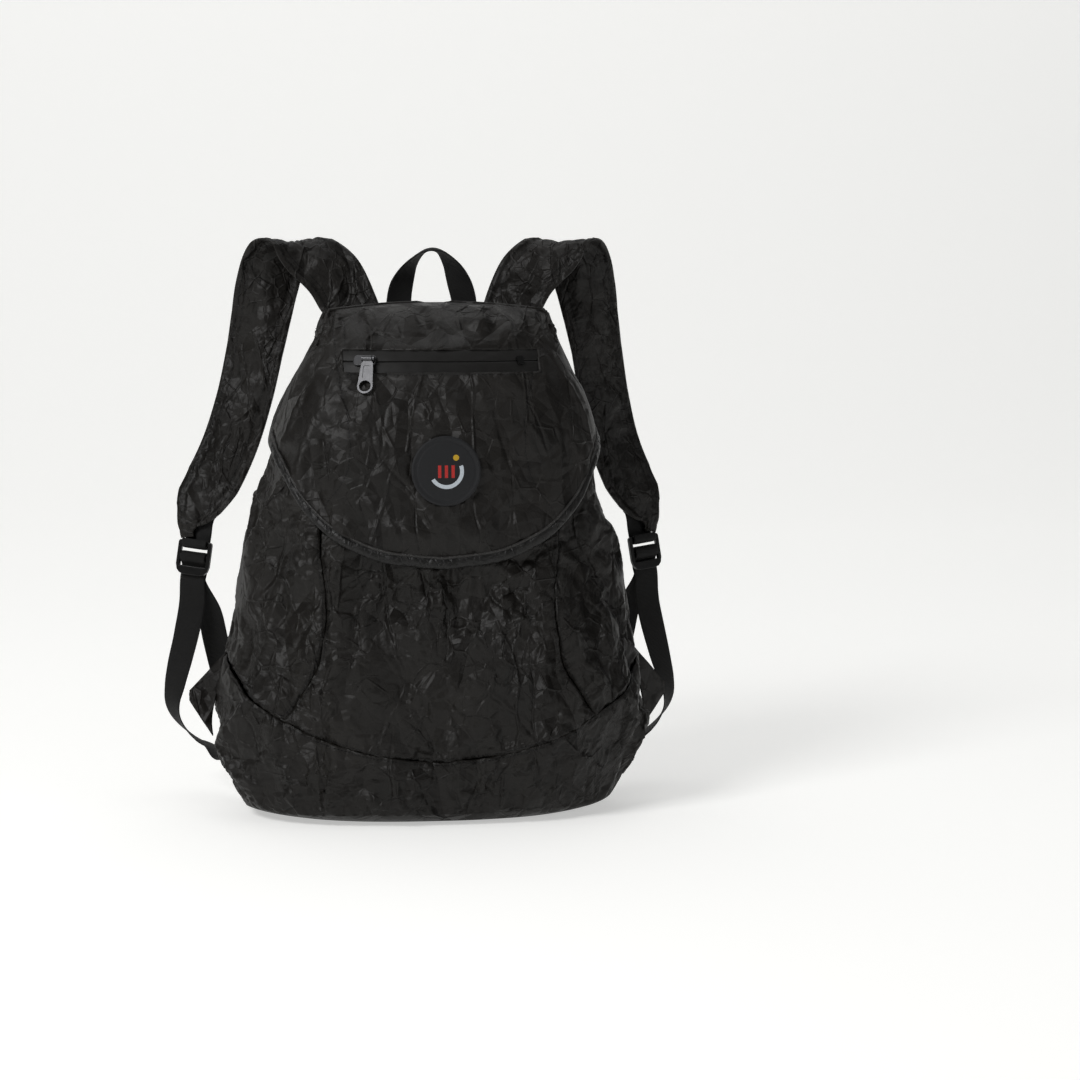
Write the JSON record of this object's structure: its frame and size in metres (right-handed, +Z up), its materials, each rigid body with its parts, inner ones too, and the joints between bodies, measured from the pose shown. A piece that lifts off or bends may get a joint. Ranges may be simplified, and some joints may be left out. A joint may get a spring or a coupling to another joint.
{
  "type": "packable daypack",
  "caption": "Thin-cloth packable daypack, standing full, with a deep round lid, zipped lid pocket, round badge, padded shoulder straps, grab handle and side tabs.",
  "frame": {"origin": "under the middle of the whole object, on the surface it stands on", "axes": "+Z up, along the height of the bag to the tops of the shoulder straps; -Y out of the front with the lid; +Y towards the back panel and straps; +X to the right in a front view"},
  "size_m": [0.4832, 0.2482, 0.5136],
  "materials": {
    "cloth": "thin crinkled ripstop-like nylon, soft sheen, charcoal",
    "webbing": "black woven tape, matte",
    "buckle_plastic": "moulded black, satin",
    "zip_metal": "dark gunmetal, polished edges",
    "zip_coil": "black zip tape and coil",
    "badge_rubber": "soft moulded, matte, dark grey"
  },
  "bodies": {
    "bag": {"bottom_panel": "cloth", "front_panel": "cloth", "side_panel_left": "cloth", "side_panel_right": "cloth", "back_panel": "cloth", "lid": "cloth", "lid_binding": "webbing", "zip_tape": "zip_coil", "zip_end_stop": "zip_coil", "zip_slider": "zip_metal", "badge": "badge_rubber", "grab_handle": "webbing", "shoulder_strap_left": "cloth", "strap_keeper_left": "webbing", "ladder_lock_left": "buckle_plastic", "webbing_left": "webbing", "side_tab_left": "cloth", "shoulder_strap_right": "cloth", "strap_keeper_right": "webbing", "ladder_lock_right": "buckle_plastic", "webbing_right": "webbing", "side_tab_right": "cloth"},
    "puller": {"zip_puller": "zip_metal"}
  },
  "joints": [
    {"name": "puller_swing", "type": "hinge", "parent": "bag", "child": "puller", "pos_m": [-0.06031, -0.0807, 0.40938], "axis": [-0.9525, 0.3045, 0], "range_deg": [0, 150]}
  ]
}
